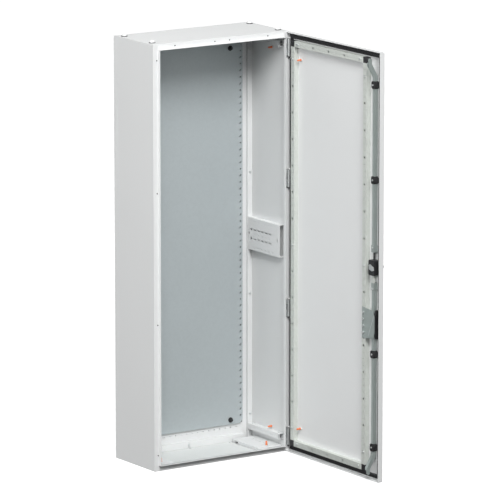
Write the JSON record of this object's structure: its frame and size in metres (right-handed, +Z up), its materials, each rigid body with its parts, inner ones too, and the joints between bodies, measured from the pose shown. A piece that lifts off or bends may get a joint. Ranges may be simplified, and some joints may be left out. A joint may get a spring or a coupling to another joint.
{
  "type": "industrial switchboard cabinet",
  "caption": "Tall steel switchboard cabinet, single hinged door with gasket and two-rod lock, mounting plate, perforated rails and door frame.",
  "frame": {"origin": "centre of the base, on the floor, midway between the four floor-fixing holes", "axes": "+Z up, +X to the right seen from the front, -Y out of the front opening; the door is stored open by 90 degrees"},
  "size_m": [0.6293, 0.872, 1.6105],
  "materials": {
    "body_paint": "fine-textured powder coat, light grey",
    "galvanised": "hot-dip galvanised sheet, faint spangle",
    "plate_zinc": "galvanised mounting plate, bluish grey",
    "fastener_zinc": "zinc-plated fasteners",
    "black_plastic": "glass-filled nylon, fine grain",
    "seal_foam": "foamed polyurethane seal",
    "black_oxide": "black-oxide steel pins and screws",
    "orange_cap": "soft plastic cap, orange"
  },
  "bodies": {
    "cabinet": {"side_left": "body_paint", "side_right": "body_paint", "roof_panel": "body_paint", "floor_panel": "body_paint", "rear_tray": "body_paint", "upright_left": "body_paint", "upright_right": "body_paint", "cross_top": "body_paint", "cross_bottom": "body_paint", "mounting_plate": "plate_zinc", "plate_standoffs": "fastener_zinc", "plate_nuts": "black_plastic", "rail_mid_left": "body_paint", "rail_mid_right": "body_paint", "rail_low_left": "body_paint", "rail_low_right": "body_paint", "rail_up_left": "body_paint", "rail_up_right": "body_paint", "floor_tray_left": "body_paint", "floor_tray_right": "body_paint", "gland_plate": "galvanised", "gland_gasket": "seal_foam", "gland_screws": "fastener_zinc", "earth_studs": "fastener_zinc", "earth_caps": "orange_cap", "lifting_plugs": "body_paint", "lifting_washers": "seal_foam", "flange_plugs": "black_plastic", "frame_bolts": "fastener_zinc", "rail_screws": "fastener_zinc", "hinge_body_leaves": "fastener_zinc", "hinge_pins": "black_oxide", "hinge_screws": "black_oxide"},
    "door": {"hinge_door_leaves": "fastener_zinc", "door_skin": "body_paint", "door_rims": "body_paint", "door_gasket": "seal_foam", "tube_hinge_side": "galvanised", "tube_lock_side": "galvanised", "tube_top": "galvanised", "tube_bottom": "galvanised", "tube_corners": "black_plastic", "door_screws": "fastener_zinc", "rod_guides": "black_plastic", "lock_housing": "black_plastic", "lift_bracket": "galvanised", "lift_wedge": "black_plastic", "door_earth_studs": "fastener_zinc", "door_earth_caps": "orange_cap", "escutcheon": "black_plastic"},
    "handle": {"lock_spindle": "fastener_zinc", "lock_cam": "galvanised", "handle_lever": "black_plastic"},
    "key": {"key_insert": "fastener_zinc"},
    "upper_rod": {"upper_rod": "galvanised", "upper_link": "black_oxide"},
    "lower_rod": {"lower_rod": "galvanised", "lower_link": "black_oxide"},
    "upper_roller": {"upper_roller": "black_plastic"},
    "lower_roller": {"lower_roller": "black_plastic"}
  },
  "joints": [
    {"name": "door_swing", "type": "hinge", "parent": "cabinet", "child": "door", "pos_m": [0.292, -0.146, 0.8], "axis": [0, 0, 1], "range_deg": [-90, 20]},
    {"name": "handle_turn", "type": "hinge", "parent": "door", "child": "handle", "pos_m": [0.305, -0.6945, 0.8], "axis": [-1, 0, 0], "range_deg": [0, 90]},
    {"name": "upper_rod_slide", "type": "slide", "parent": "door", "child": "upper_rod", "axis": [0, 0, 1], "range_m": [0, 0.014]},
    {"name": "lower_rod_slide", "type": "slide", "parent": "door", "child": "lower_rod", "axis": [0, 0, -1], "range_m": [0, 0.014]},
    {"name": "upper_roller_spin", "type": "hinge", "parent": "upper_rod", "child": "upper_roller", "pos_m": [0.268, -0.6925, 1.567], "axis": [0, 1, 0], "continuous": true},
    {"name": "lower_roller_spin", "type": "hinge", "parent": "lower_rod", "child": "lower_roller", "pos_m": [0.268, -0.6925, 0.033], "axis": [0, 1, 0], "continuous": true},
    {"name": "key_turn", "type": "hinge", "parent": "handle", "child": "key", "pos_m": [0.325, -0.6945, 0.8], "axis": [1, 0, 0], "range_deg": [0, 90]}
  ],
  "couplings": [
    {"joint": "handle_turn", "follows": "upper_rod_slide", "rad_per_m": 112.19},
    {"joint": "lower_rod_slide", "follows": "upper_rod_slide", "ratio": 1}
  ]
}
